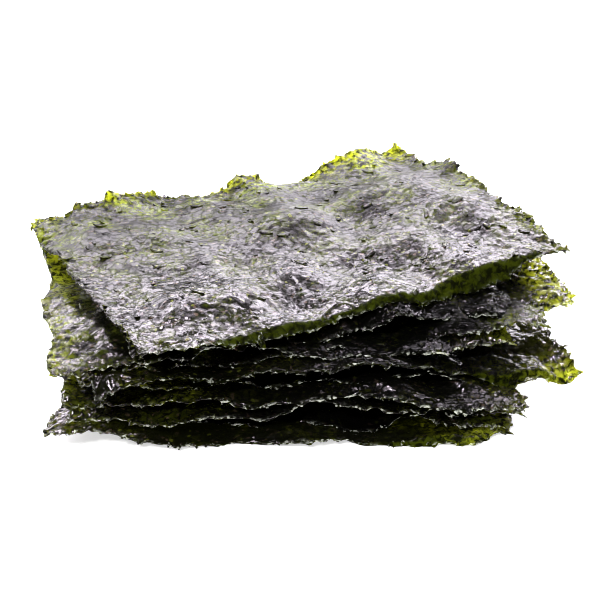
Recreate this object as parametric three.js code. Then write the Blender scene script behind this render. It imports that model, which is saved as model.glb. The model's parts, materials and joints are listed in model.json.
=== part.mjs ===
// A loose stack of roasted seaweed snack sheets, in millimetres with +Z up.
// Each sheet is a thin wavy slab. The stack fans out: the top sheets are turned and shifted
// against the bottom ones, and every sheet lies on the high spots of the sheet below it.
import * as THREE from 'three';

// One sheet
const SHEET_LENGTH = 88;
const SHEET_WIDTH = 62;
const SHEET_THICKNESS = 0.35;
const CELLS_ALONG = 22;
const CELLS_ACROSS = 13;

// Waves that roasting leaves in a sheet
const WAVE_COUNT = 8;
const WAVE_SHORTEST = 13;
const WAVE_LONGEST = 42;
const WAVE_RMS = 0.7;
const WAVE_TAPER = 0.5;

// Torn rim, as sideways wander of the cut edge
const RIM_COUNT = 6;
const RIM_SHORTEST = 8;
const RIM_LONGEST = 34;
const RIM_RMS = 0.55;
const RIM_REACH = 7;

// Seeds of the random draws, one for each sheet
const FIRST_SEED = 4177;
const SEED_STEP = 131;

// Headings of the waves, spread by the golden section with some scatter, in half turns
const HEADING_STEP = 0.618;
const HEADING_SCATTER = 0.2;

// Stack
const LEVEL_STEP = 2.12;
const FIRST_LEVEL = 0.55;
const CLEARANCE = 0.45;
const SETTLE_ROUNDING = 0.5;
const SUPPORT_MARGIN = 1.3;
const SAG_RATE = 0.35;

// The sheets from the bottom up: turn in degrees, the centre's place, how much shorter than a full
// sheet it is, and its bends. Where ends are torn aslant, the slant is how much the back rim loses
// at the left and at the right. A bend lifts the sheet around one spot, given as fractions of the
// half length and half width, over a reach along and across.
const SHEETS = [
  {
    turn: -10,
    at: [-5.6, -2.6],
    short: 7,
    slant: [15, 0],
    bends: [{ along: -0.9, across: -0.9, reach: [20, 16], lift: 2.8 }],
  },
  {
    turn: -13,
    at: [-2.5, 1.8],
    short: 11.5,
    bends: [{ along: 0.95, across: -0.6, reach: [14, 20], lift: -0.6 }],
  },
  {
    turn: -7.5,
    at: [-3.3, 0.3],
    short: 10,
    bends: [],
  },
  {
    turn: -11,
    at: [-1.6, 0.5],
    short: 8,
    bends: [
      { along: -0.95, across: -0.8, reach: [12, 20], lift: -1.2 },
      { along: 1, across: -0.8, reach: [14, 20], lift: -1.6 },
    ],
  },
  {
    turn: -5,
    at: [-1.8, 5],
    short: 9,
    bends: [{ along: 1, across: -0.7, reach: [14, 24], lift: -3.4 }],
  },
  {
    turn: -2,
    at: [2.5, 3.4],
    short: 1.5,
    slant: [0, 15],
    bends: [
      { along: 1, across: -0.4, reach: [20, 34], lift: -3.5 },
      { along: 0.86, across: -1.06, reach: [14, 8], lift: -4.4 },
    ],
  },
  {
    turn: -4,
    at: [-3.2, 6.5],
    short: 12,
    bends: [{ along: 0.1, across: -1, reach: [40, 17], lift: -1.2 }],
  },
  {
    turn: -1.2,
    at: [-3.7, 7.8],
    short: 0,
    bends: [
      { along: -1, across: -1, reach: [18, 18], lift: -1.6 },
      { along: 0.25, across: -1, reach: [34, 17], lift: -2.2 },
    ],
  },
  {
    turn: 3.5,
    at: [3.6, 9.2],
    short: 7,
    bends: [
      { along: 0, across: -1, reach: [40, 17], lift: -1.2 },
      { along: -0.42, across: -1, reach: [14, 14], lift: -1.6 },
      { along: 1, across: -1, reach: [16, 14], lift: -1.8 },
      { along: 0.98, across: 0.15, reach: [22, 20], lift: 1 },
    ],
  },
  {
    turn: 15,
    at: [-0.83, 11.2],
    short: 2.6,
    bends: [
      { along: -1, across: -1, reach: [18, 18], lift: -0.8 },
      { along: 0.1, across: -1, reach: [32, 15], lift: -2.6 },
      { along: -0.45, across: -1, reach: [8, 10], lift: -1 },
      { along: 0.12, across: -1, reach: [9, 12], lift: -1.1 },
      { along: 0.62, across: -1.02, reach: [10, 14], lift: 3.9 },
      { along: 1, across: -1, reach: [7, 12], lift: 2.3 },
      { along: 0.98, across: 0.15, reach: [22, 20], lift: 3.8 },
      { along: -1, across: 1.02, reach: [12, 12], lift: -1.5 },
      { along: -0.8, across: 1.02, reach: [4, 7], lift: -2 },
      { along: -0.6, across: 1.02, reach: [8, 8], lift: 1.3 },
      { along: -0.2, across: 1.02, reach: [7, 9], lift: -4 },
      { along: 0.07, across: 1.02, reach: [6, 8], lift: 1.7 },
      { along: 0.37, across: 1.02, reach: [5.7, 7], lift: -5.8 },
      { along: 0.91, across: 1.02, reach: [4, 7], lift: -2 },
      { along: 1, across: 1.02, reach: [10, 10], lift: 1.6 },
    ],
  },
];

// Looks of the bare solid
const BOTTOM_COLOUR = new THREE.Color(0x1b200e);
const TOP_COLOUR = new THREE.Color(0x3c4126);
const SHEET_ROUGHNESS = 0.35;

// A repeatable stream of numbers from 0 to 1.
function seededNumbers(seed) {
  let state = seed >>> 0;
  return () => {
    state = (state + 0x6d2b79f5) >>> 0;
    let mixed = Math.imul(state ^ (state >>> 15), state | 1);
    mixed ^= mixed + Math.imul(mixed ^ (mixed >>> 7), mixed | 61);
    return ((mixed ^ (mixed >>> 14)) >>> 0) / 4294967296;
  };
}

// Sine waves of mixed length and direction whose sum has the given root mean square height.
function makeWaves(random, count, shortest, longest, rms) {
  const waves = [];
  for (let i = 0; i < count; i += 1) {
    const length = shortest * (longest / shortest) ** ((i + random()) / count);
    const heading = Math.PI * (i * HEADING_STEP + HEADING_SCATTER * random());
    const pace = (2 * Math.PI) / length;
    waves.push({
      x: pace * Math.cos(heading),
      y: pace * Math.sin(heading),
      phase: 2 * Math.PI * random(),
      height: length ** WAVE_TAPER,
    });
  }
  const power = waves.reduce((sum, wave) => sum + wave.height ** 2 / 2, 0);
  const scale = rms / Math.sqrt(power);
  waves.forEach((wave) => {
    wave.height *= scale;
  });
  return waves;
}

function waveHeight(waves, x, y) {
  return waves.reduce((sum, w) => sum + w.height * Math.sin(w.x * x + w.y * y + w.phase), 0);
}

// The larger of two heights, rounded where they cross and never below either.
function rideOver(below, own) {
  const apart = below - own;
  return (below + own + Math.hypot(apart, SETTLE_ROUNDING)) / 2;
}

// One sheet's plan, its waves and how it rests over any spot of the table.
class Sheet {
  constructor(plan, index, below) {
    const random = seededNumbers(FIRST_SEED + SEED_STEP * index);
    this.below = below;
    this.length = SHEET_LENGTH - plan.short;
    this.slant = plan.slant ?? [0, 0];
    this.level = FIRST_LEVEL + LEVEL_STEP * index;
    this.bends = plan.bends;
    this.centre = plan.at;
    this.cos = Math.cos(THREE.MathUtils.degToRad(plan.turn));
    this.sin = Math.sin(THREE.MathUtils.degToRad(plan.turn));
    this.waves = makeWaves(random, WAVE_COUNT, WAVE_SHORTEST, WAVE_LONGEST, WAVE_RMS);
    this.rims = [0, 1, 2, 3].map(() => makeWaves(random, RIM_COUNT, RIM_SHORTEST, RIM_LONGEST, RIM_RMS));
  }

  toTable(along, across) {
    const x = this.centre[0] + along * this.cos - across * this.sin;
    const y = this.centre[1] + along * this.sin + across * this.cos;
    return [x, y];
  }

  toSheet(x, y) {
    const dx = x - this.centre[0];
    const dy = y - this.centre[1];
    return [dx * this.cos + dy * this.sin, dy * this.cos - dx * this.sin];
  }

  bendHeight(along, across) {
    return this.bends.reduce((sum, bend) => {
      const du = (along - (bend.along * this.length) / 2) / bend.reach[0];
      const dv = (across - (bend.across * SHEET_WIDTH) / 2) / bend.reach[1];
      return sum + bend.lift * Math.exp(-du * du - dv * dv);
    }, 0);
  }

  // The height of the middle surface over a spot of the table, and how high the stack up to this
  // sheet holds the next one there. Past its rim a sheet soon holds nothing.
  restAt(x, y) {
    const [along, across] = this.toSheet(x, y);
    const own = this.level + waveHeight(this.waves, x, y) + this.bendHeight(along, across);
    const pastEnd = Math.max(Math.abs(along) - this.length / 2 - SUPPORT_MARGIN, 0);
    const pastSide = Math.max(Math.abs(across) - SHEET_WIDTH / 2 - SUPPORT_MARGIN, 0);
    const sag = SAG_RATE * (pastEnd ** 2 + pastSide ** 2);
    if (!this.below) {
      const height = Math.max(own, SHEET_THICKNESS / 2);
      return { height, support: height - sag };
    }
    const support = this.below.restAt(x, y).support;
    const height = rideOver(support + SHEET_THICKNESS + CLEARANCE, own);
    return { height, support: Math.max(height - sag, support) };
  }

  // The spot of the table under a grid point, whose steps run from -1 to 1 each way.
  gridSpot(stepAlong, stepAcross) {
    const torn = this.slant[0] * (1 - stepAlong) - this.slant[1] * (1 + stepAlong);
    const along = (stepAlong * this.length) / 2 + (torn * (1 + stepAcross)) / 4;
    const across = (stepAcross * SHEET_WIDTH) / 2;
    const nearEnd = Math.exp(((Math.abs(stepAlong) - 1) * this.length) / 2 / RIM_REACH);
    const nearSide = Math.exp((Math.abs(across) - SHEET_WIDTH / 2) / RIM_REACH);
    const endRim = this.rims[stepAlong < 0 ? 0 : 1];
    const sideRim = this.rims[stepAcross < 0 ? 2 : 3];
    const alongWander = nearEnd * waveHeight(endRim, across, 0);
    const acrossWander = nearSide * waveHeight(sideRim, along, 0);
    return this.toTable(along + alongWander, across + acrossWander);
  }
}

// The closed slab of a sheet: an upper and a lower face with the same triangles, and a rim.
function sheetGeometry(sheet) {
  const columns = CELLS_ALONG + 1;
  const rows = CELLS_ACROSS + 1;
  const faceSize = columns * rows;
  const positions = [];
  for (const side of [0.5, -0.5]) {
    for (let row = 0; row < rows; row += 1) {
      for (let column = 0; column < columns; column += 1) {
        const [x, y] = sheet.gridSpot((2 * column) / CELLS_ALONG - 1, (2 * row) / CELLS_ACROSS - 1);
        positions.push(x, y, sheet.restAt(x, y).height + side * SHEET_THICKNESS);
      }
    }
  }
  const corners = [];
  const quad = (a, b, c, d) => corners.push(a, b, c, a, c, d);
  for (let row = 0; row < CELLS_ACROSS; row += 1) {
    for (let column = 0; column < CELLS_ALONG; column += 1) {
      const a = row * columns + column;
      const b = a + 1;
      const c = b + columns;
      const d = a + columns;
      quad(a, b, c, d);
      corners.push(faceSize + a, faceSize + c, faceSize + b, faceSize + a, faceSize + d, faceSize + c);
    }
  }
  const rim = [];
  for (let column = 0; column < CELLS_ALONG; column += 1) {
    rim.push(column);
  }
  for (let row = 0; row < CELLS_ACROSS; row += 1) {
    rim.push(row * columns + CELLS_ALONG);
  }
  for (let column = CELLS_ALONG; column > 0; column -= 1) {
    rim.push(CELLS_ACROSS * columns + column);
  }
  for (let row = CELLS_ACROSS; row > 0; row -= 1) {
    rim.push(row * columns);
  }
  rim.forEach((start, i) => {
    const end = rim[(i + 1) % rim.length];
    quad(start + faceSize, end + faceSize, end, start);
  });
  const geometry = new THREE.BufferGeometry();
  geometry.setAttribute('position', new THREE.Float32BufferAttribute(positions, 3));
  geometry.setIndex(corners);
  geometry.computeVertexNormals();
  return geometry;
}

function sheetMaterial(share) {
  return new THREE.MeshStandardMaterial({
    color: BOTTOM_COLOUR.clone().lerp(TOP_COLOUR, share),
    roughness: SHEET_ROUGHNESS,
    metalness: 0,
  });
}

function buildStack() {
  const stack = new THREE.Group();
  let below = null;
  SHEETS.forEach((plan, index) => {
    const sheet = new Sheet(plan, index, below);
    const mesh = new THREE.Mesh(sheetGeometry(sheet), sheetMaterial(index / (SHEETS.length - 1)));
    mesh.name = `sheet_${String(index + 1).padStart(2, '0')}`;
    stack.add(mesh);
    below = sheet;
  });
  // The origin is under the middle of the stack, on the table.
  const box = new THREE.Box3().setFromObject(stack);
  const middle = box.getCenter(new THREE.Vector3());
  stack.position.set(-middle.x, -middle.y, -box.min.z);
  return stack;
}

export default buildStack();
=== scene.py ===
import json
import math

import bpy
import numpy as np
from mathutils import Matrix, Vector

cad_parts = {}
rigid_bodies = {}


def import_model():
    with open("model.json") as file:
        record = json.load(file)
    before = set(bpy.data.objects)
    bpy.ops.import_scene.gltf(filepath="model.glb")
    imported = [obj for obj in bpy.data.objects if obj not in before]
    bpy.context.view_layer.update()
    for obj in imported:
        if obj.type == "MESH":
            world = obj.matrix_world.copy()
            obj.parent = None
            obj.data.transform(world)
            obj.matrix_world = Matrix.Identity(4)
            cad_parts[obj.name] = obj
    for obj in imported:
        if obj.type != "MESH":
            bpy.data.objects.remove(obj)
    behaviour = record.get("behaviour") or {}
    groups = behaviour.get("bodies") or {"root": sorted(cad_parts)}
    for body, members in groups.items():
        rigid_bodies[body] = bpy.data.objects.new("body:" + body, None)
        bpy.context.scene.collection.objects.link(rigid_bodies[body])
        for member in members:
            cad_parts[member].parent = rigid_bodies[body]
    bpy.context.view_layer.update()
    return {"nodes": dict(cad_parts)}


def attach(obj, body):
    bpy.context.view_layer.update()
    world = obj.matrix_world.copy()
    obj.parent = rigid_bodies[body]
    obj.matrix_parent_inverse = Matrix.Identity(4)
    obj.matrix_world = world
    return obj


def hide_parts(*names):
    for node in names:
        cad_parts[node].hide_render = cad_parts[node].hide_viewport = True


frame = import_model()
scene = bpy.context.scene
mm = 0.001
half = (0.5, 0.5, 0.5)
sheetNames = sorted(frame["nodes"])
print("frame loaded,", len(sheetNames), "sheets")


# sRGB hex to a linear colour
def linear(hexText):
    parts = [int(hexText[i:i + 2], 16) / 255 for i in (1, 3, 5)]
    return [p / 12.92 if p <= 0.04045 else ((p + 0.055) / 1.055) ** 2.4 for p in parts] + [1.0]


nodeKinds = {
    "math": "ShaderNodeMath",
    "vector": "ShaderNodeVectorMath",
    "join": "ShaderNodeCombineXYZ",
    "split": "ShaderNodeSeparateXYZ",
    "range": "ShaderNodeMapRange",
    "mix": "ShaderNodeMix",
    "noise": "ShaderNodeTexNoise",
    "cells": "ShaderNodeTexVoronoi",
    "place": "ShaderNodeTexCoord",
    "painted": "ShaderNodeAttribute",
    "bump": "ShaderNodeBump",
    "film": "ShaderNodeBsdfPrincipled",
    "through": "ShaderNodeBsdfTranslucent",
    "both": "ShaderNodeAddShader",
    "surface": "ShaderNodeOutputMaterial",
    "given": "NodeGroupInput",
    "result": "NodeGroupOutput",
    "named": "GeometryNodeInputNamedAttribute",
    "move": "GeometryNodeSetPosition",
    "realize": "GeometryNodeRealizeInstances",
    "finish": "GeometryNodeSetMaterial",
    "sheet": "GeometryNodeObjectInfo",
    "shreds": "GeometryNodeCollectionInfo",
    "gather": "GeometryNodeJoinGeometry",
    "scatter": "GeometryNodeDistributePointsOnFaces",
    "instance": "GeometryNodeInstanceOnPoints",
    "turn": "GeometryNodeRotateInstances",
    "random": "FunctionNodeRandomValue",
}


# adds one node; a list fills its inputs in order, and an input that is a socket gets linked
def addNode(tree, kind, inputs=(), out=0, **settings):
    node = tree.nodes.new(nodeKinds[kind])
    for name, value in settings.items():
        setattr(node, name, value)
    pairs = inputs.items() if isinstance(inputs, dict) else enumerate(inputs)
    for name, value in pairs:
        if isinstance(value, bpy.types.NodeSocket):
            tree.links.new(value, node.inputs[name])
        else:
            node.inputs[name].default_value = value
    return node.outputs[out] if len(node.outputs) else node


# puts a camera or a lamp in its place and turns it to its target
def aim(thing, place, target, unit):
    scene.collection.objects.link(thing)
    thing.location = Vector(place) * unit
    thing.rotation_euler = (Vector(target) - Vector(place)).to_track_quat("-Z", "Y").to_euler()


# Camera at the photo's angle, a long lens from the front left and above. Places are millimetres.
cameraSettings = {
    "lens": 82.9,
    "sensor": 36.0,
    "place": (-48.73, -238.65, 126.17),
    "lookAt": (0.79, -5.68, 10.0),
    "clip": (0.01, 20),     # m
}


def setCamera(s):
    data = bpy.data.cameras.new("camera")
    data.lens = s["lens"]
    data.sensor_width = s["sensor"]
    data.clip_start, data.clip_end = s["clip"]
    scene.camera = bpy.data.objects.new("camera", data)
    aim(scene.camera, s["place"], s["lookAt"], mm)


setCamera(cameraSettings)
print("camera set")


# Roasted laver: a film of pressed seaweed shreds, oiled and roasted. It is nearly black with an olive
# and purple cast, shines like oiled paper at a low angle, and glows yellow-green where it is thin
# and the light comes from behind. Levels say between which values of a noise something sets in.
laverSettings = {
    "olive": "#0b0d03",
    "brown": "#050503",
    "purple": "#0e0a0c",
    # painted shade: near black for the front faces that the sheets above shade
    "shadeBlack": "#030303",
    "leafOlive": "#2b3206",
    "leafGreen": "#5a6419",
    "paleGreen": "#7f8532",
    "palePink": "#8a7263",
    # painted glints: pale dots laid on the cut rims where light would catch them
    "glintWhite": "#d0d4c4",
    "thinGlow": "#cdd060",
    "thickGlow": "#3a3d16",
    "sheenTint": "#ffecff",
    "patchSize": 7.0,               # mm, thin and thick areas
    "mottleSize": 1.1,              # mm, clumps of shreds
    "swirlSize": 9.0,               # mm, how far a swirl of shreds turns
    "swirlPull": (5.0, 5.0, 5.0),   # mm
    "shredSize": (1.05, 0.9, 0.7),  # mm
    "chipSize": 0.5,                # of a shred, the smallest flecks
    # flat bits of shred: size as a share of a shred, slope, step in mm, what stays where the film is smooth
    "bits": ((1.9, 0.22, 0.15, 0.65), (0.7, 0.2, 0.08, 0.5)),
    "shine": (0.6, 1.2),            # least and most oil of a bit
    "smoothShine": 0.75,            # how much of that stays where the film is smooth
    "gapWidth": (0.02, 0.2),        # of a bit
    "gapLevels": (0.42, 0.5),
    "patchLevels": (0.5, 0.72),
    "patchThin": 0.4,
    "clumpLevels": (0.38, 0.62),
    "spotLevels": (0.42, 0.58),
    "leafLevels": (0.42, 0.62),
    "leafSmooth": 0.6,              # leaf green on smooth film
    "leafBase": 0.03,               # and everywhere
    # flecks: which chance of a chip, its levels, how strong, colour
    "flecks": (("Y", 0.8, 0.86, 0.8, "purple"), ("X", 0.97, 0.99, 0.5, "paleGreen"),
               ("Z", 0.96, 0.98, 0.3, "palePink")),
    "glintLevels": (0.55, 0.7),      # painted glints: pale dots along a cut rim
    "dentSize": 2.6,                # mm, olive dents without oil
    "dentLevels": (0.65, 0.69),
    "dentShare": 0.9,
    "dentSmooth": 0.12,             # how smooth the film is where dents show in full
    "frailDents": 0.12,             # how many more where the film is frail
    "oil": (0.5, 0.04),             # on the film and where it is bare
    "shadeOil": 0.05,                 # what stays of the oil in the painted shade on the covered front faces
    # which chips in the painted shade keep their oil
    "wetLevels": (0.1, 0.16),
    "smoothOil": 0.31,              # what stays of it on smooth film
    "roughLevels": (0.3, 0.7),
    "roughness": (0.1, 0.18),
    "smoothRoughness": 0.22,
}


# places drawn out in swirls
def swirled(tree, places, pace, detail, pull):
    shift = addNode(tree, "noise", {"Vector": places, "Scale": pace, "Detail": detail}, out="Color")
    shift = addNode(tree, "vector", [shift, half], operation="SUBTRACT")
    shift = addNode(tree, "vector", [shift, pull], operation="MULTIPLY")
    return addNode(tree, "vector", [places, shift], operation="ADD")


# single shreds: flat bits, each tilted its own way and a step above the next
def shredBump(tree, drawn, smooth, s):
    rise = 0.0
    for size, slope, step, stays in s["bits"]:
        centre = addNode(tree, "cells", {"Vector": drawn, "Scale": 1 / size}, out="Position")
        chance = centre.node.outputs["Color"]
        tilt = addNode(tree, "vector", [chance, half], operation="SUBTRACT")
        run = addNode(tree, "vector", [drawn, centre], operation="SUBTRACT")
        facet = addNode(tree, "vector", [run, tilt], out="Value", operation="DOT_PRODUCT")
        level = addNode(tree, "split", [chance])
        level = addNode(tree, "math", [level, step], operation="MULTIPLY")
        level = addNode(tree, "math", [facet, slope, level], operation="MULTIPLY_ADD")
        firm = addNode(tree, "range", [smooth, 0.0, 1.0, 1.0, stays])
        rise = addNode(tree, "math", [level, firm, rise], operation="MULTIPLY_ADD")
    return addNode(tree, "bump", {"Strength": 1.0, "Distance": mm, "Height": rise})


# each bit takes the oil in its own way, and short dark gaps part the bits
def shredShine(tree, drawn, smooth, mottle, s):
    pace = 1 / s["bits"][0][0]
    chance = addNode(tree, "cells", {"Vector": drawn, "Scale": pace}, out="Color")
    chance = addNode(tree, "split", [chance], out="Z")
    shine = addNode(tree, "range", [chance, 0.0, 1.0, *s["shine"]])
    gap = addNode(tree, "cells", {"Vector": drawn, "Scale": pace}, out="Distance", feature="DISTANCE_TO_EDGE")
    gap = addNode(tree, "range", [gap, *s["gapWidth"], 1.0, 0.0])
    broken = addNode(tree, "range", [mottle, *s["gapLevels"]])
    gap = addNode(tree, "math", [gap, broken], operation="MULTIPLY")
    gap = addNode(tree, "math", [1.0, gap], operation="SUBTRACT")
    shine = addNode(tree, "math", [shine, gap, -1.0], operation="MULTIPLY_ADD")
    firm = addNode(tree, "range", [smooth, 0.0, 1.0, 1.0, s["smoothShine"]])
    return addNode(tree, "math", [shine, firm, 1.0], operation="MULTIPLY_ADD")


def makeLaver(s):
    material = bpy.data.materials.new("roasted laver film")
    material.use_nodes = True
    tree = material.node_tree
    tree.nodes.clear()
    place = addNode(tree, "place", out="Object")
    inMm = addNode(tree, "vector", {0: place, "Scale": 1 / mm}, operation="SCALE")
    patch = addNode(tree, "noise", {"Vector": inMm, "Scale": 1 / s["patchSize"], "Detail": 3.0})
    mottle = addNode(tree, "noise", {"Vector": inMm, "Scale": 1 / s["mottleSize"], "Detail": 4.0,
                                     "Roughness": 0.6, "Distortion": 0.6})
    frail, bare, smooth, rimGlint, frontShade = [addNode(tree, "painted", out="Fac", attribute_name=name)
                                      for name in ("frail", "bare", "smooth", "rimGlint", "frontShade")]
    drawn = swirled(tree, inMm, 1 / s["swirlSize"], 1.0, s["swirlPull"])
    drawn = addNode(tree, "vector", [drawn, s["shredSize"]], operation="DIVIDE")
    chips = addNode(tree, "cells", {"Vector": drawn, "Scale": 1 / s["chipSize"]}, out="Color")
    chance = addNode(tree, "split", [chips]).node.outputs
    bump = shredBump(tree, drawn, smooth, s)
    shine = shredShine(tree, drawn, smooth, mottle, s)

    # how thin the film is
    patchThin = addNode(tree, "range", [patch, *s["patchLevels"], 0.0, s["patchThin"]],
                        interpolation_type="SMOOTHSTEP")
    clumps = addNode(tree, "range", [mottle, *s["clumpLevels"]], interpolation_type="SMOOTHSTEP")
    spots = addNode(tree, "range", [mottle, *s["spotLevels"]])
    rimThin = addNode(tree, "math", [frail, spots], operation="MULTIPLY")
    thin = addNode(tree, "math", [patchThin, clumps, rimThin], operation="MULTIPLY_ADD", use_clamp=True)
    glow = addNode(tree, "mix", {"Factor": thin, 6: linear(s["thickGlow"]), 7: linear(s["thinGlow"])}, out=2,
                   data_type="RGBA")

    # where it is leaf green
    leafy = addNode(tree, "math", [smooth, s["leafSmooth"], frail], operation="MULTIPLY_ADD")
    leafy = addNode(tree, "math", [leafy, s["leafBase"]], operation="ADD", use_clamp=True)
    leafSpots = addNode(tree, "range", [patch, *s["leafLevels"]])
    leafSpots = addNode(tree, "math", [leafSpots, clumps], operation="MULTIPLY")
    leafy = addNode(tree, "math", [leafy, leafSpots], operation="MULTIPLY")

    # where it is bare and olive: hanging rims and dents
    dent = addNode(tree, "noise", {"Vector": inMm, "Scale": 1 / s["dentSize"], "Detail": 2.0,
                                   "Distortion": 0.8})
    dent = addNode(tree, "math", [frail, s["frailDents"], dent], operation="MULTIPLY_ADD")
    dent = addNode(tree, "range", [dent, *s["dentLevels"], 0.0, s["dentShare"]])
    onTop = addNode(tree, "range", [smooth, 0.0, s["dentSmooth"]])
    dent = addNode(tree, "math", [dent, onTop], operation="MULTIPLY")
    bare = addNode(tree, "math", [bare, dent], operation="MAXIMUM")
    leaf = addNode(tree, "mix", {"Factor": spots, 6: linear(s["olive"]), 7: linear(s["leafOlive"])}, out=2,
                   data_type="RGBA")

    # painted glints: pale dots along the cut rims
    dots = addNode(tree, "range", [chance["X"], *s["glintLevels"]])
    dots = addNode(tree, "math", [dots, clumps], operation="MULTIPLY")
    dots = addNode(tree, "math", [dots, rimGlint], operation="MULTIPLY")

    # olive and brown film, and what lies over it: leaf green, flecks, painted shade near black on the covered
    # front faces, olive on bare places, and painted glints along the rims
    coats = [(leafy, linear(s["leafGreen"]))]
    for part, low, high, share, colour in s["flecks"]:
        coats.append((addNode(tree, "range", [chance[part], low, high, 0.0, share]), linear(s[colour])))
    coats += [(frontShade, linear(s["shadeBlack"])), (bare, leaf), (dots, linear(s["glintWhite"]))]
    tone = addNode(tree, "mix", {"Factor": mottle, 6: linear(s["brown"]), 7: linear(s["olive"])}, out=2,
                   data_type="RGBA")
    for cover, colour in coats:
        tone = addNode(tree, "mix", {"Factor": cover, 6: tone, 7: colour}, out=2, data_type="RGBA")

    # the oil; on the covered front faces the painted shade takes most of it, and a few bits keep theirs and
    # sparkle
    oil = addNode(tree, "range", [bare, 0.0, 1.0, *s["oil"]])
    oil = addNode(tree, "math", [oil, shine], operation="MULTIPLY")
    dulledInShade = addNode(tree, "range", [chance["Y"], *s["wetLevels"]])
    dulledInShade = addNode(tree, "math", [frontShade, dulledInShade], operation="MULTIPLY")
    for part, least in ((dulledInShade, s["shadeOil"]), (smooth, s["smoothOil"])):
        stays = addNode(tree, "range", [part, 0.0, 1.0, 1.0, least])
        oil = addNode(tree, "math", [oil, stays], operation="MULTIPLY")
    rough = addNode(tree, "range", [mottle, *s["roughLevels"], *s["roughness"]])
    rough = addNode(tree, "math", [smooth, s["smoothRoughness"], rough], operation="MULTIPLY_ADD")

    film = addNode(tree, "film", {"Base Color": tone, "Roughness": rough, "Normal": bump, "IOR": 1.5,
                                  "Specular IOR Level": oil, "Specular Tint": linear(s["sheenTint"])})
    light = addNode(tree, "through", {"Color": glow, "Normal": bump})
    addNode(tree, "surface", {"Surface": addNode(tree, "both", [film, light])})
    return material


laver = makeLaver(laverSettings)
print("laver material made")


# an empty tree with named inputs
def newTree(name, inputs, takesMesh):
    tree = bpy.data.node_groups.new(name, "GeometryNodeTree")
    if takesMesh:
        tree.interface.new_socket("Geometry", in_out="INPUT", socket_type="NodeSocketGeometry")
    for key, value in inputs.items():
        tree.interface.new_socket(key, in_out="INPUT", socket_type="NodeSocketFloat").default_value = value
    tree.interface.new_socket("Geometry", in_out="OUTPUT", socket_type="NodeSocketGeometry")
    return tree, addNode(tree, "given").node.outputs


# ends a tree with plain geometry in its material
def closeTree(tree, shaped, material):
    shaped = addNode(tree, "realize", [shaped])
    shaped = addNode(tree, "finish", {"Geometry": shaped, "Material": material})
    addNode(tree, "result", {"Geometry": shaped})


# falls off from the rim inwards
def rimFade(tree, rimGap, reach, power):
    depth = addNode(tree, "math", [rimGap, reach], operation="DIVIDE")
    if power != 1:
        depth = addNode(tree, "math", [depth, power], operation="POWER")
    depth = addNode(tree, "math", [depth, -1.0], operation="MULTIPLY")
    return addNode(tree, "math", [depth], operation="EXPONENT")


# runs a piece's tree and keeps the plain mesh
def keepMesh(piece):
    evaluated = piece.evaluated_get(bpy.context.evaluated_depsgraph_get())
    mesh = bpy.data.meshes.new_from_object(evaluated)
    piece.modifiers.clear()
    piece.data = mesh
    mesh.shade_smooth()
    return mesh


# Relief of one sheet: cockles of the whole film, overlapping shreds on each face, a torn rim.
# Sizes are millimetres in the flat sheet, slopes are rise over run.
reliefSettings = {
    "inputs": {
        "Seed": 0.0,
        "Thickness": 0.16,
        "Sink": 0.3,
        "Cockle Length": 8.0,
        "Cockle Height": 0.3,
        "Flake Length": 5.0,
        "Flake Width": 4.6,
        "Flake Step": 0.36,
        "Flake Drop": 0.16,
        "Shred Length": 2.1,
        "Shred Width": 2.3,
        "Shred Step": 0.22,
        "Shred Drop": 0.3,
        "Strand Length": 1.8,
        "Strand Width": 1.6,
        "Strand Height": 0.14,
        "Wave Length": 12.0,
        "Wave Height": 1.2,
        "Wave Reach": 7.0,
        "Curl Height": 0.5,
        "Curl Reach": 3.0,
        "Crimp Height": 1.2,
        "Crimp Reach": 1.2,
        "Tuft Height": 1.2,
        "Droop": 1.5,
        "Fray": 1.3,
        "Spike": 6.0,
        "Fray Reach": 1.6,
    },
    # bends of the whole film: the input with their size, place in the noise, detail
    "bends": {"Cockle": ("Length", 0.0, 1.5), "Wave": ("Length", 11.3, 1.0), "Curl": ("Reach", 7.7, 2.0),
              "Crimp": ("Reach", 5.2, 1.0)},
    # other noises: pace per mm, place in the noise, detail, and how rough where it isn't a half
    "tuft": (0.22, 15.9, 3.0),
    "tuftLevels": (0.38, 0.66),
    "sag": (0.1, 21.7, 2.0),
    "sagLevels": (0.3, 0.7),
    "sagDepth": (-0.3, -1.3),
    "calm": (0.12, 0.0, 2.0),
    "calmLevels": (0.35, 0.65),
    "calmShare": (0.7, 1.25),
    "tooth": (0.55, 3.1, 3.0, 0.7),
    "toothDepth": (-1.1, 0.9),
    "spike": (0.8, 9.4, 1.0),
    "spikeLevel": 0.6,
    "swirl": (0.11, 1.5, (15, 15, 0)),   # pace per mm, detail, pull in mm
    # shreds that overlap: place in the pattern, what stays where the film is smooth
    "flakes": {"Flake": ((0, 0, 0), 0.6), "Shred": ((31.0, 17.0, 0), 0.3)},
    "overlaps": 4.0,        # steps in the whole range of the noise
    "strandSmooth": 0.3,
}


# noise over the flat sheet, each layer in its own place of it
def sheetNoise(tree, base, pace, shift, detail, roughness=0.5):
    spot = addNode(tree, "vector", [base, (0, 0, shift)], operation="ADD")
    return addNode(tree, "noise", {"Vector": spot, "Scale": pace, "Detail": detail, "Roughness": roughness})


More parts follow.
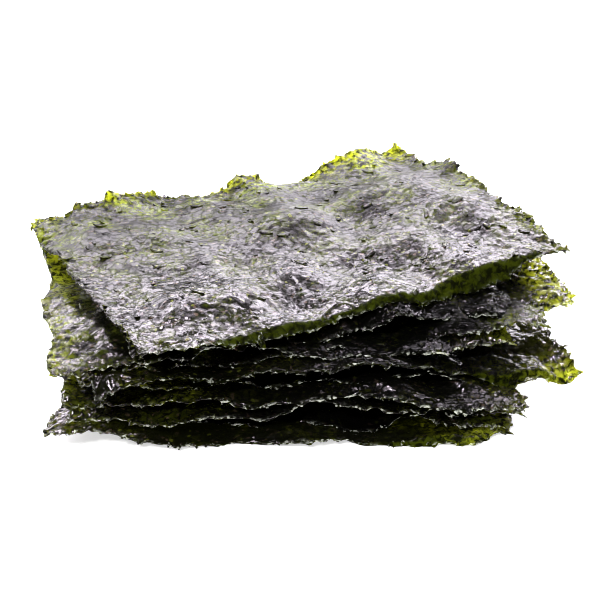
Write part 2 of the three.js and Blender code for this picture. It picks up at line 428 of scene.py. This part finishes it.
# how the whole film rises: cockles, waves and curls along its rim, standing tufts, hanging rims
def filmRise(tree, given, base, rims, s):
    bends = []
    for layer, (size, shift, detail) in s["bends"].items():
        pace = addNode(tree, "math", [1.0, given[layer + " " + size]], operation="DIVIDE")
        bend = sheetNoise(tree, base, pace, shift, detail)
        bend = addNode(tree, "range", [bend, 0.0, 1.0, -1.0, 1.0])
        bend = addNode(tree, "math", [bend, given[layer + " Height"]], operation="MULTIPLY")
        if layer != "Cockle":
            fade = rimFade(tree, rims["rimGap"], given[layer + " Reach"], 1)
            bend = addNode(tree, "math", [bend, fade], operation="MULTIPLY")
        bends.append(bend)
    bends = [addNode(tree, "math", pair, operation="ADD") for pair in (bends[:2], bends[2:])]
    rise = addNode(tree, "math", bends, operation="ADD")
    tuft = addNode(tree, "range", [sheetNoise(tree, base, *s["tuft"]), *s["tuftLevels"]])
    tuft = addNode(tree, "math", [tuft, given["Tuft Height"]], operation="MULTIPLY")
    rise = addNode(tree, "math", [tuft, rims["stand"], rise], operation="MULTIPLY_ADD")
    sag = addNode(tree, "range", [sheetNoise(tree, base, *s["sag"]), *s["sagLevels"], *s["sagDepth"]])
    sag = addNode(tree, "math", [sag, given["Droop"]], operation="MULTIPLY")
    return addNode(tree, "math", [sag, rims["droop"], rise], operation="MULTIPLY_ADD")


# how a face rises: overlapping shreds and fine strands drawn out in swirls
def shredRise(tree, given, base, smooth, s):
    swirl = swirled(tree, base, *s["swirl"])
    rise = 0.0
    for layer, (shift, stays) in s["flakes"].items():
        size = addNode(tree, "join", [given[layer + " Length"], given[layer + " Width"], 1.0])
        spot = addNode(tree, "vector", [swirl, shift], operation="ADD")
        spot = addNode(tree, "vector", [spot, size], operation="DIVIDE")
        level = addNode(tree, "noise", {"Vector": spot, "Scale": 1.0, "Detail": 1.0})
        level = addNode(tree, "math", [level, s["overlaps"]], operation="MULTIPLY")
        level = addNode(tree, "math", [level], operation="FRACT")
        top = addNode(tree, "math", [1.0, given[layer + " Drop"]], operation="SUBTRACT")
        ramp = addNode(tree, "math", [level, top], operation="DIVIDE")
        drop = addNode(tree, "math", [1.0, level], operation="SUBTRACT")
        drop = addNode(tree, "math", [drop, given[layer + " Drop"]], operation="DIVIDE")
        flake = addNode(tree, "math", [ramp, drop], operation="MINIMUM")
        firm = addNode(tree, "range", [smooth, 0.0, 1.0, 1.0, stays])
        flake = addNode(tree, "math", [flake, firm], operation="MULTIPLY")
        rise = addNode(tree, "math", [flake, given[layer + " Step"], rise], operation="MULTIPLY_ADD")
    narrow = addNode(tree, "join", [given["Strand Length"], given["Strand Width"], 1.0])
    strand = addNode(tree, "vector", [swirl, narrow], operation="DIVIDE")
    strand = addNode(tree, "noise", {"Vector": strand, "Scale": 1.0, "Detail": 2.0})
    strand = addNode(tree, "range", [strand, 0.0, 1.0, -2.0, 2.0])
    strand = addNode(tree, "math", [strand], operation="ABSOLUTE")
    strand = addNode(tree, "math", [1.0, strand], operation="SUBTRACT")
    firm = addNode(tree, "range", [smooth, 0.0, 1.0, 1.0, s["strandSmooth"]])
    strand = addNode(tree, "math", [strand, firm], operation="MULTIPLY")
    rise = addNode(tree, "math", [strand, given["Strand Height"], rise], operation="MULTIPLY_ADD")
    calm = addNode(tree, "range", [sheetNoise(tree, base, *s["calm"]), *s["calmLevels"], *s["calmShare"]])
    return addNode(tree, "math", [rise, calm], operation="MULTIPLY")


# how far the torn rim reaches out: teeth and a few spikes
def rimTeeth(tree, given, base, rims, s):
    tooth = addNode(tree, "range", [sheetNoise(tree, base, *s["tooth"]), 0.0, 1.0, *s["toothDepth"]])
    tooth = addNode(tree, "math", [tooth, given["Fray"]], operation="MULTIPLY")
    spike = sheetNoise(tree, base, *s["spike"])
    spike = addNode(tree, "math", [spike, s["spikeLevel"]], operation="SUBTRACT")
    spike = addNode(tree, "math", [spike, 0.0], operation="MAXIMUM")
    tooth = addNode(tree, "math", [spike, given["Spike"], tooth], operation="MULTIPLY_ADD")
    fade = rimFade(tree, rims["rimGap"], given["Fray Reach"], 2)
    tooth = addNode(tree, "math", [tooth, fade], operation="MULTIPLY")
    return addNode(tree, "math", [tooth, rims["ragged"]], operation="MULTIPLY")


def reliefTree(s, material):
    tree, given = newTree("laver relief", s["inputs"], True)
    flat, up, outward = [addNode(tree, "named", {"Name": name}, data_type="FLOAT_VECTOR")
                         for name in ("flat", "up", "outward")]
    rims = {name: addNode(tree, "named", {"Name": name}, data_type="FLOAT")
            for name in ("side", "rimGap", "stand", "droop", "ragged", "smooth")}
    seed = addNode(tree, "join", {"Z": given["Seed"]})
    base = addNode(tree, "vector", [flat, seed], operation="ADD")
    film = filmRise(tree, given, base, rims, s)
    face = shredRise(tree, given, base, rims["smooth"], s)
    tooth = rimTeeth(tree, given, base, rims, s)

    # both faces follow the shreds, so the film stays thin
    thick = addNode(tree, "math", [given["Thickness"], 0.5], operation="MULTIPLY")
    film = addNode(tree, "math", [film, face], operation="ADD")
    film = addNode(tree, "math", [film, given["Sink"]], operation="SUBTRACT")
    height = addNode(tree, "math", [rims["side"], thick, film], operation="MULTIPLY_ADD")

    lift = addNode(tree, "vector", {0: up, "Scale": height}, operation="SCALE")
    spread = addNode(tree, "vector", {0: outward, "Scale": tooth}, operation="SCALE")
    shift = addNode(tree, "vector", [lift, spread], operation="ADD")
    shift = addNode(tree, "vector", {0: shift, "Scale": mm}, operation="SCALE")
    closeTree(tree, addNode(tree, "move", {"Geometry": given["Geometry"], "Offset": shift}), material)
    return tree


relief = reliefTree(reliefSettings, laver)
print("relief tree made")


# Each sheet follows its solid: the middle surface of the slab, drawn as a smooth fine grid.
# The lower sheets are fine only near their rims, since the rest is covered. Sizes are millimetres.
sheetSettings = {
    "cellsAlong": 22,
    "cellsAcross": 13,
    "fitTurns": 8,
    "fineStep": {"sheet_10": 0.355, "sheet_09": 0.36, "others": 0.4},
    "middleStep": {"sheet_10": 0.355, "sheet_09": 0.45, "others": 1.1},
    "rimBand": 13.0,
    "inputs": {"sheet_10": {"Wave Height": 0.4, "Flake Step": 0.26}, "others": {}},
    "seedStep": 3.7,
    "patternStep": 61.3,
    "outwardReach": 1.2,
    # how a rim's effects fade: 1 from a sharp peak, 2 from a round one
    "fades": {"stand": 1, "droop": 1, "frail": 2, "rimGlint": 2, "ragged": 1},
    # what each rim does: how far and how much
    "stand": {"sheet_10": {"back": (2.0, 1.0), "right": (3.0, 0.8), "right back": (2.0, 10.0, 1.6)},
              "others": {}},
    "droop": {"sheet_10": {}, "sheet_09": {"front": (6.0, 1.6)}, "sheet_01": {},
              "others": {"front": (4.0, 1.0)}},
    "frail": {
        "sheet_10": {"back": (8.0, 1.0), "right": (3.0, 0.4), "front right": (7.0, 60.0, 0.1)},
        "sheet_09": {"right": (8.0, 1.0)},
        "sheet_08": {"left": (7.0, 0.6), "right": (9.0, 0.4)},
        "sheet_06": {"right": (6.0, 0.1), "front right": (5.0, 18.0, 1.0)},
        "sheet_01": {"right": (12.0, 0.55), "left": (8.0, 0.4)},
        "others": {"right": (9.0, 0.4), "left": (26.0, 0.35)},
    },
    # painted glints along the rims: how far in and how strong
    "rimGlint": {"sheet_10": {"front": (0.25, 0.8)},
             "others": {"front": (0.24, 0.9), "left": (0.24, 0.5)}},
    "ragged": {"others": {"left": (4.0, 0.35), "right": (4.0, 1.7), "front": (4.0, 0.7), "back": (4.0, 1.0)}},
    # stretches of a rim that stand up, as shares of its length, and how softly they end
    "tufts": ((0.09, 0.34), (0.445, 0.63), (0.7, 1.1)),
    "tuftBlend": 0.02,
    # how far the front rim hangs, at shares of its length from the left, and the fold it makes
    "hang": {
        "sheet_10": ((0.0, 0.2), (0.15, 0.3), (0.2, 1.5), (0.3, 2.3), (0.38, 1.7), (0.45, 1.1), (0.5, 1.7),
                     (0.62, 2.0), (0.68, 2.4), (0.75, 4.2), (0.83, 3.4), (0.88, 1.6), (0.94, 0.6),
                     (1.0, 0.3)),
        "sheet_06": ((0.0, 0.2), (0.74, 0.2), (0.79, 1.6), (0.84, 3.2), (0.89, 2.2), (0.94, 1.0),
                     (1.0, 0.5)),
        "sheet_01": ((0.0, 0.1), (0.68, 0.2), (0.76, 1.3), (0.88, 1.8), (0.95, 0.9), (1.0, 0.2)),
    },
    "hangRows": 12,
    "hangAngle": {"sheet_10": 1.15, "sheet_06": 1.15, "sheet_01": 0.35},    # radians
    "foldReach": 0.35,
    "bareReach": 0.3,
    "bareSmooth": 0.8,
    "wornCorner": {"sheet_01": 3.5, "others": 0.0},     # at the front right
    "wornReach": 3.0,
    "floorGap": (0.02, 0.16),                           # lower and upper face
    # where across its width a sheet grows smooth, and how much sooner at its right end
    "smooth": {"sheet_10": (-0.12, 0.8, 0.2), "sheet_08": (-1.5, 1.5, 0.0), "others": (2.0, 3.0, 0.0)},
    # painted shade on the front faces under the sheets above, near black and with little oil: reach from the
    # front, clear of the left and right ends, how much
    "frontShade": {"sheet_10": (1.0, 1.0, 1.0, 0.0), "sheet_09": (20.0, 26.0, 8.0, 0.97),
            "others": (19.0, 24.0, 8.0, 0.93)},
    # flat map, in shares of it: a face's size, where each face starts, bottom and top of the rim
    "mapFace": (0.98, 0.46),
    "mapStarts": ((0.01, 0.01), (0.01, 0.49)),
    "mapRim": (0.965, 0.99),
}


# a sheet's own setting, or the one for the others
def ownOf(table, name):
    return table[name] if name in table else table["others"]


# the slab's middle surface as rows of points, from the merged corners of the solid
def middleGrid(node, s):
    mesh = node.data
    points = np.empty(len(mesh.vertices) * 3)
    mesh.vertices.foreach_get("co", points)
    points = points.reshape(-1, 3) / mm
    x, y, z = points.T
    frontLeft, frontRight = points[np.argmin(x + y), :2], points[np.argmax(x - y), :2]
    backRight, backLeft = points[np.argmax(x + y), :2], points[np.argmin(x - y), :2]
    a, b = frontLeft, frontRight - frontLeft
    c, d = backLeft - frontLeft, frontLeft - frontRight - backLeft + backRight
    along = np.full(len(x), 0.5)
    across = np.full(len(x), 0.5)
    for turn in range(s["fitTurns"]):
        miss = a + np.outer(along, b) + np.outer(across, c) + np.outer(along * across, d) - points[:, :2]
        du = b + np.outer(across, d)
        dv = c + np.outer(along, d)
        scale = du[:, 0] * dv[:, 1] - du[:, 1] * dv[:, 0]
        along -= (miss[:, 0] * dv[:, 1] - miss[:, 1] * dv[:, 0]) / scale
        across -= (du[:, 0] * miss[:, 1] - du[:, 1] * miss[:, 0]) / scale
    column = np.clip(np.rint(along * s["cellsAlong"]), 0, s["cellsAlong"]).astype(int)
    row = np.clip(np.rint(across * s["cellsAcross"]), 0, s["cellsAcross"]).astype(int)
    shape = (s["cellsAcross"] + 1, s["cellsAlong"] + 1)
    low, high = np.full(shape, np.inf), np.full(shape, -np.inf)
    total, seen = np.zeros(shape + (2,)), np.zeros(shape)
    np.minimum.at(low, (row, column), z)
    np.maximum.at(high, (row, column), z)
    np.add.at(total, (row, column), points[:, :2])
    np.add.at(seen, (row, column), 1)
    if seen.min() < 1:
        raise RuntimeError("grid of " + node.name + " has gaps")
    return np.dstack([total / seen[..., None], (low + high) / 2])


# weights that draw a smooth line through the solid's grid lines
def smoothWeights(places, count):
    cell = np.clip(np.floor(places).astype(int), 0, count - 2)
    t = places - cell
    spread = np.zeros((len(places), count + 2))
    at = np.arange(len(places))
    spread[at, cell] += (-t + 2 * t ** 2 - t ** 3) / 2
    spread[at, cell + 1] += (2 - 5 * t ** 2 + 3 * t ** 3) / 2
    spread[at, cell + 2] += (t + 4 * t ** 2 - 3 * t ** 3) / 2
    spread[at, cell + 3] += (t ** 3 - t ** 2) / 2
    weights = spread[:, 1:-1].copy()
    weights[:, 0] += 2 * spread[:, 0]
    weights[:, 1] -= spread[:, 0]
    weights[:, -1] += 2 * spread[:, -1]
    weights[:, -2] -= spread[:, -1]
    return weights


# places from rim to rim, close together near the rims
def gradedPlaces(length, fine, middle, band):
    near = np.linspace(0, band, int(round(band / fine)) + 1)
    inner = np.linspace(band, length - band, int(round((length - 2 * band) / middle)) + 1)
    return np.concatenate([near[:-1], inner, length - near[::-1][1:]])


# rows of points below the front rim, where the film folds and hangs
def hangingRows(points, hang, fold, s):
    ahead = (points[0] - points[1]) * (1, 1, 0)
    ahead /= np.linalg.norm(ahead, axis=1, keepdims=True)
    place, rows = points[0], []
    for step in np.arange(1, s["hangRows"] + 1) / s["hangRows"]:
        angle = fold * (1 - np.exp(-step * hang / s["foldReach"]))
        run = ahead * np.cos(angle)[:, None] - np.outer(np.sin(angle), (0, 0, 1))
        place = place + run * hang[:, None] / s["hangRows"]
        rows.append(place)
    return np.array(rows[::-1])


# the film's points, and how far along and across the flat sheet each one lies
def filmPlaces(name, s):
    grid = middleGrid(frame["nodes"][name], s)
    length = np.linalg.norm(np.diff(grid[:, :, :2], axis=1), axis=2).sum(axis=1).mean()
    width = np.linalg.norm(np.diff(grid[:, :, :2], axis=0), axis=2).sum(axis=0).mean()
    fine, middle = ownOf(s["fineStep"], name), ownOf(s["middleStep"], name)
    alongMm = gradedPlaces(length, fine, middle, s["rimBand"])
    acrossMm = gradedPlaces(width, fine, middle, s["rimBand"])
    alongWeights = smoothWeights(alongMm / length * s["cellsAlong"], s["cellsAlong"] + 1)
    acrossWeights = smoothWeights(acrossMm / width * s["cellsAcross"], s["cellsAcross"] + 1)
    points = np.einsum("ri,ijk,cj->rck", acrossWeights, grid, alongWeights)
    u, v = np.meshgrid(alongMm, acrossMm)
    hang = np.zeros(len(alongMm))
    if name in s["hang"]:
        hang = np.interp(alongMm / length, *zip(*s["hang"][name]))
        points = np.concatenate([hangingRows(points, hang, s["hangAngle"][name], s), points])
        below = np.outer(-np.arange(s["hangRows"], 0, -1) / s["hangRows"], hang)
        u, v = np.concatenate([u[:s["hangRows"]], u]), np.concatenate([below, v])
    return {"points": points, "u": u, "v": v, "hang": hang, "length": length, "width": width}


# how much each point has of what the rims do, from its distances to the four ends
def rimValues(name, film, ends, s):
    along, across = film["u"] / film["length"], film["v"] / film["width"]
    rims = {}
    for key, power in s["fades"].items():
        rims[key] = np.zeros(along.shape)
        for sides, (*reaches, share) in ownOf(s[key], name).items():
            depth = sum((ends[side] / reach) ** power for side, reach in zip(sides.split(), reaches))
            rims[key] = np.maximum(rims[key], share * np.exp(-depth))
    tufts = [np.minimum(along - low, high - along) / s["tuftBlend"] for low, high in s["tufts"]]
    rims["stand"] *= np.clip(tufts, 0, 1).max(axis=0)
    rims["bare"] = np.exp(-(np.maximum(film["v"], 0) / s["bareReach"]) ** 2) * np.clip(film["hang"], 0, 1)
    start, end, sooner = ownOf(s["smooth"], name)
    grown = (across + sooner * along - start) / (end - start)
    rims["smooth"] = np.maximum(np.clip(grown, 0, 1), s["bareSmooth"] * rims["bare"])
    # painted shade along the covered front, clear of the left and right ends
    reach, fromLeft, fromRight, share = ownOf(s["frontShade"], name)
    rims["frontShade"] = share * np.exp(-(ends["front"] / reach) ** 2)
    for side, clear in (("left", fromLeft), ("right", fromRight)):
        rims["frontShade"] *= 1 - np.exp(-(ends[side] / clear) ** 2)
    return rims


# corners of the upper face, the lower face and the rim that joins them, and how many the rim has
def closedFaces(rows, columns):
    count = rows * columns
    index = np.arange(count).reshape(rows, columns)
    corners = [index[:-1, :-1], index[:-1, 1:], index[1:, 1:], index[1:, :-1]]
    upper = np.stack(corners, axis=-1).reshape(-1, 4)
    lower = upper[:, ::-1] + count
    loop = np.concatenate([index[0, :-1], index[:-1, -1], index[-1, :0:-1], index[:0:-1, 0]])
    ahead = np.roll(loop, -1)
    rim = np.stack([loop + count, ahead + count, ahead, loop], axis=-1)
    return np.concatenate([upper, lower, rim]), len(loop)


# flat map: upper face, lower face above it, rim along the top
def flatMap(film, faces, rimCount, s):
    lowest = film["hang"].max()
    across = (film["v"] + lowest) / (film["width"] + lowest)
    spot = np.stack([film["u"] / film["length"], across], axis=-1).reshape(-1, 2) * s["mapFace"]
    spot = np.concatenate([spot + start for start in s["mapStarts"]])
    turn = np.arange(rimCount + 1) / rimCount
    bottom, top = s["mapRim"]
    corners = ((turn[:-1], bottom), (turn[1:], bottom), (turn[1:], top), (turn[:-1], top))
    strip = [np.stack([part, np.full(rimCount, level)], axis=-1) for part, level in corners]
    return np.concatenate([spot[faces[:-rimCount]], np.stack(strip, axis=1)])


def sheetMesh(name, number, s):
    film = filmPlaces(name, s)
    points, u, v, length, width = [film[key] for key in ("points", "u", "v", "length", "width")]
    goAlong = np.gradient(points, axis=1)
    goAcross = np.gradient(points, axis=0)
    up = np.cross(goAlong, goAcross)
    for way in (up, goAlong, goAcross):
        way /= np.linalg.norm(way, axis=2, keepdims=True)
    gaps = np.dstack([u, length - u, v + film["hang"], width - v])
    ends = dict(zip(("left", "right", "front", "back"), np.moveaxis(gaps, 2, 0)))
    worn = np.exp(-(ends["right"] ** 2 + ends["front"] ** 2) / (2 * s["wornReach"] ** 2))
    worn *= ownOf(s["wornCorner"], name) / math.sqrt(2)
    points = points + (goAcross - goAlong) * worn[..., None]
    pull = np.exp(-gaps / s["outwardReach"])
    outward = goAlong * (pull[..., 1] - pull[..., 0])[..., None]
    outward += goAcross * (pull[..., 3] - pull[..., 2])[..., None]
    outward /= np.maximum(np.linalg.norm(outward, axis=2, keepdims=True), 1e-9)
    flat = np.dstack([u - length / 2, v - width / 2, np.full(u.shape, s["patternStep"] * number)])

    faces, rimCount = closedFaces(*u.shape)
    mesh = bpy.data.meshes.new(name + "_film")
    mesh.from_pydata(np.concatenate([points.reshape(-1, 3)] * 2) * mm, [], faces.tolist())
    spots = flatMap(film, faces, rimCount, s)
    mesh.uv_layers.new(name="OFBake").data.foreach_set("uv", spots.astype(np.float32).ravel())
    values = {"flat": flat, "up": up, "outward": outward, "rimGap": gaps.min(axis=2),
              **rimValues(name, film, ends, s)}
    values = {key: np.stack([value, value]) for key, value in values.items()}
    values["side"] = np.stack([np.ones(u.shape), -np.ones(u.shape)])
    for key, value in values.items():
        kind, field = ("FLOAT_VECTOR", "vector") if value.ndim == 4 else ("FLOAT", "value")
        attribute = mesh.attributes.new(key, kind, "POINT")
        attribute.data.foreach_set(field, value.astype(np.float32).ravel())
    return mesh


# keeps both faces of the film above the floor
def restOnFloor(mesh, gaps):
    places = np.empty(len(mesh.vertices) * 3)
    side = np.empty(len(mesh.vertices))
    mesh.vertices.foreach_get("co", places)
    mesh.attributes["side"].data.foreach_get("value", side)
    places[2::3] = np.maximum(places[2::3], np.where(side < 0, *gaps) * mm)
    mesh.vertices.foreach_set("co", places)


def makeSheet(name, number, s):
    piece = bpy.data.objects.new(name + "_laver", sheetMesh(name, number, s))
    scene.collection.objects.link(piece)
    modifier = piece.modifiers.new("relief", "NODES")
    modifier.node_group = relief
    own = {"Seed": s["seedStep"] * number, **ownOf(s["inputs"], name)}
    for item in relief.interface.items_tree:
        if item.in_out == "INPUT" and item.name in own:
            modifier[item.identifier] = own[item.name]
    mesh = keepMesh(piece)
    restOnFloor(mesh, s["floorGap"])
    # what only the relief reads goes
    for key in ("up", "outward", "side", "flat", "stand", "droop", "ragged"):
        mesh.attributes.remove(mesh.attributes[key])
    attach(piece, "root")
    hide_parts(name)
    return piece


sheets = [makeSheet(name, number, sheetSettings) for number, name in enumerate(sheetNames)]
print("sheets made,", sum(len(sheet.data.polygons) * 2 for sheet in sheets), "triangles")


# Loose shreds: small curled strips that stick out along the rims, and flakes that lie on the top sheet.
# Sizes are millimetres, counts are per square millimetre, tilts are radians.
shredSettings = {
    "length": 1.0,
    "width": 0.45,
    "thickness": 0.07,
    "cells": 4,
    "curls": (0.15, 0.35, -0.3),
    "twist": 0.3,           # of the curl
    "bluntEnd": 0.12,       # square of the end's share of the width
    "floorGap": 0.02,
    "seeds": {"place": 5, "size": 11, "lean": (21, 31), "spin": 41},
    "inputs": {
        "Rim Count": 0.7,
        "Rim Reach": 0.5,
        "Rim Tilt": 0.7,
        "Rim Smallest": 0.5,
        "Rim Largest": 1.3,
        "Flake Count": 0.025,
        "Flake Tilt": 0.15,
        "Flake Smallest": 1.0,
        "Flake Largest": 3.0,
    },
}


# one curled strip, thin and closed
def shredMesh(name, curl, s):
    cells = s["cells"]
    along = np.linspace(-0.5, 0.5, cells + 1)
    span = np.sqrt(np.maximum(s["bluntEnd"], 1 - (2 * along) ** 2))
    points = []
    for level in (0.5, -0.5):
        for side in (-0.5, 0, 0.5):
            bend = curl * (along ** 2 + s["twist"] * side * along)
            points.append(np.stack([along * s["length"], side * span * s["width"],
                                    bend * s["length"] + level * s["thickness"]], axis=-1))
    index = np.arange(6 * (cells + 1)).reshape(2, 3, cells + 1)
    faces = []
    for side in range(2):
        for cell in range(cells):
            quad = [(side, cell), (side, cell + 1), (side + 1, cell + 1), (side + 1, cell)]
            faces.append([index[0][spot] for spot in quad])
            faces.append([index[1][spot] for spot in quad[::-1]])
    loop = [(0, cell) for cell in range(cells)] + [(side, cells) for side in range(2)]
    loop += [(2, cell) for cell in range(cells, 0, -1)] + [(side, 0) for side in (2, 1)]
    for here, ahead in zip(loop, loop[1:] + loop[:1]):
        faces.append([index[1][here], index[1][ahead], index[0][ahead], index[0][here]])
    mesh = bpy.data.meshes.new(name)
    mesh.from_pydata(np.concatenate(points) * mm, [], [[int(corner) for corner in face] for face in faces])
    return mesh


def shredTree(s, shapes, material):
    tree, given = newTree("loose shreds", s["inputs"], False)
    seeds = s["seeds"]
    kinds = addNode(tree, "shreds", {"Collection": shapes, "Separate Children": True})
    rimGap = addNode(tree, "named", {"Name": "rimGap"}, data_type="FLOAT")
    stacks = {"Rim": (sheets, rimFade(tree, rimGap, given["Rim Reach"], 1)), "Flake": (sheets[-1:], 1.0)}
    gathered = addNode(tree, "gather")
    for number, (layer, (films, weight)) in enumerate(stacks.items()):
        joined = addNode(tree, "gather")
        for film in reversed(films):
            film = addNode(tree, "sheet", {"Object": film}, out="Geometry")
            tree.links.new(film, joined.node.inputs[0])
        count = addNode(tree, "math", [given[layer + " Count"], 1 / mm ** 2], operation="MULTIPLY")
        count = addNode(tree, "math", [count, weight], operation="MULTIPLY")
        points = addNode(tree, "scatter", {"Mesh": joined, "Density": count, "Seed": seeds["place"] + number})
        size = addNode(tree, "random", {2: given[layer + " Smallest"], 3: given[layer + " Largest"],
                                        "Seed": seeds["size"] + number}, out=1, data_type="FLOAT")
        placed = addNode(tree, "instance", {"Points": points, "Instance": kinds, "Pick Instance": True,
                                            "Rotation": points.node.outputs["Rotation"], "Scale": size})
        most = given[layer + " Tilt"]
        least = addNode(tree, "math", [most, -1.0], operation="MULTIPLY")
        lean = [addNode(tree, "random", {2: least, 3: most, "Seed": seed + number}, out=1, data_type="FLOAT")
                for seed in seeds["lean"]]
        spin = addNode(tree, "random", {2: 0.0, 3: 2 * math.pi, "Seed": seeds["spin"] + number}, out=1,
                       data_type="FLOAT")
        turned = addNode(tree, "join", [*lean, spin])
        placed = addNode(tree, "turn", {"Instances": placed, "Rotation": turned})
        tree.links.new(placed, gathered.node.inputs[0])
    closeTree(tree, gathered, material)
    return tree


# lifts a shred that dips below the floor
def liftShreds(mesh, s):
    places = np.empty(len(mesh.vertices) * 3)
    mesh.vertices.foreach_get("co", places)
    heights = places.reshape(-1, 6 * (s["cells"] + 1), 3)[:, :, 2]
    heights += np.maximum(0, s["floorGap"] * mm - heights.min(axis=1))[:, None]
    mesh.vertices.foreach_set("co", places)


def makeShreds(s):
    shapes = bpy.data.collections.new("shred shapes")
    for number, curl in enumerate(s["curls"]):
        name = "shred_" + str(number)
        shapes.objects.link(bpy.data.objects.new(name, shredMesh(name, curl, s)))
    piece = bpy.data.objects.new("loose_shreds", bpy.data.meshes.new("loose_shreds"))
    scene.collection.objects.link(piece)
    modifier = piece.modifiers.new("scatter", "NODES")
    modifier.node_group = shredTree(s, shapes, laver)
    liftShreds(keepMesh(piece), s)
    for shape in list(shapes.objects):
        bpy.data.objects.remove(shape)
    bpy.data.collections.remove(shapes)
    for film in [piece] + sheets:
        film.data.attributes.remove(film.data.attributes["rimGap"])
    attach(piece, "root")
    return piece


shreds = makeShreds(shredSettings)
print("shreds made,", len(shreds.data.polygons) * 2, "triangles")


# Studio: white floor and wall, softboxes behind, small bright lamps above, dim room. Sizes are metres.
studioSettings = {
    "floorSize": 6.0,
    "floorColour": "#eeeeee",
    "floorRoughness": 0.7,
    "floorGlow": 0.6,
    "wallRadius": 0.95,
    "wallHeight": 2.0,
    "wallSides": 48,
    "wallGlow": 1.0,
    "room": 0.015,
    "pixelFilter": 0.8,
    "lampTarget": (0, 0, 0.01),
    "softboxColour": "#fcf8ff",
    "softboxes": {
        "softbox left": {"size": (0.7, 0.26), "place": (-0.30, 0.60, 0.19), "radiance": 2.7},
        "softbox right": {"size": (0.8, 0.26), "place": (0.45, 0.60, 0.19), "radiance": 7.0},
        "softbox high": {"size": (1.5, 0.18), "place": (0.10, 0.53, 0.37), "radiance": 15.4},
        "softbox top": {"size": (1.3, 0.21), "place": (0.10, 0.37, 0.48), "radiance": 6.5},
    },
    "lampColour": "#ffffff",
    "lamps": {
        "overhead": {"size": (0.5, 0.5), "place": (0.0, 0.05, 0.55), "radiance": 0.04},
        "core": {"size": (0.115, 0.115), "place": (-0.05, 0.06, 0.6), "radiance": 70.0},
        "spark": {"size": (0.1, 0.1), "place": (-0.32, -0.34, 0.45), "radiance": 85.0},
        "second spark": {"size": (0.07, 0.07), "place": (0.22, -0.2, 0.55), "radiance": 75.0},
    },
}


# a white surface with light of its own, so that it stays clean white in the picture
def makeWhite(name, finish, points, faces, inputs):
    mesh = bpy.data.meshes.new(name)
    mesh.from_pydata(points, [], faces)
    surface = bpy.data.objects.new(name, mesh)
    scene.collection.objects.link(surface)
    material = bpy.data.materials.new(finish)
    material.use_nodes = True
    shader = material.node_tree.nodes["Principled BSDF"]
    shader.inputs["Emission Color"].default_value = (1, 1, 1, 1)
    for key, value in inputs.items():
        shader.inputs[key].default_value = value
    mesh.materials.append(material)
    return surface


# matt board that takes soft shadows
def makeFloor(s):
    far = s["floorSize"] / 2
    points = [(-far, -far, 0), (far, -far, 0), (far, far, 0), (-far, far, 0)]
    inputs = {"Base Color": linear(s["floorColour"]), "Roughness": s["floorRoughness"],
              "Emission Strength": s["floorGlow"]}
    floor = makeWhite("floor", "white board", points, [(0, 1, 2, 3)], inputs)


# a plain white wall all round that only the camera sees
def makeBackdrop(s):
    count = s["wallSides"]
    turns = [2 * math.pi * step / count for step in range(count)]
    ring = [(s["wallRadius"] * math.cos(turn), s["wallRadius"] * math.sin(turn)) for turn in turns]
    points = [(x, y, z) for z in (0, s["wallHeight"]) for x, y in ring]
    sides = [(step, (step + 1) % count) for step in range(count)]
    faces = [(b, a, a + count, b + count) for a, b in sides]
    wall = makeWhite("backdrop", "white paper", points, faces, {"Emission Strength": s["wallGlow"]})
    wall.visible_diffuse = False
    wall.visible_glossy = False
    wall.visible_transmission = False
    wall.visible_shadow = False


def makeLight(name, lamp, colour, target):
    data = bpy.data.lights.new(name, "AREA")
    data.shape = "RECTANGLE"
    data.size, data.size_y = lamp["size"]
    data.color = linear(colour)[:3]
    data.energy = lamp["radiance"] * math.pi * lamp["size"][0] * lamp["size"][1]
    light = bpy.data.objects.new(name, data)
    aim(light, lamp["place"], target, 1.0)
    light.visible_camera = False


def makeRoom(s):
    world = bpy.data.worlds.new("room")
    world.use_nodes = True
    world.node_tree.nodes["Background"].inputs["Color"].default_value = (s["room"],) * 3 + (1,)
    scene.world = world
    scene.view_settings.view_transform = "Standard"
    scene.cycles.filter_width = s["pixelFilter"]
    for kind, colour in (("softboxes", "softboxColour"), ("lamps", "lampColour")):
        for name, lamp in s[kind].items():
            makeLight(name, lamp, s[colour], s["lampTarget"])


makeFloor(studioSettings)
makeBackdrop(studioSettings)
makeRoom(studioSettings)
print("studio made")
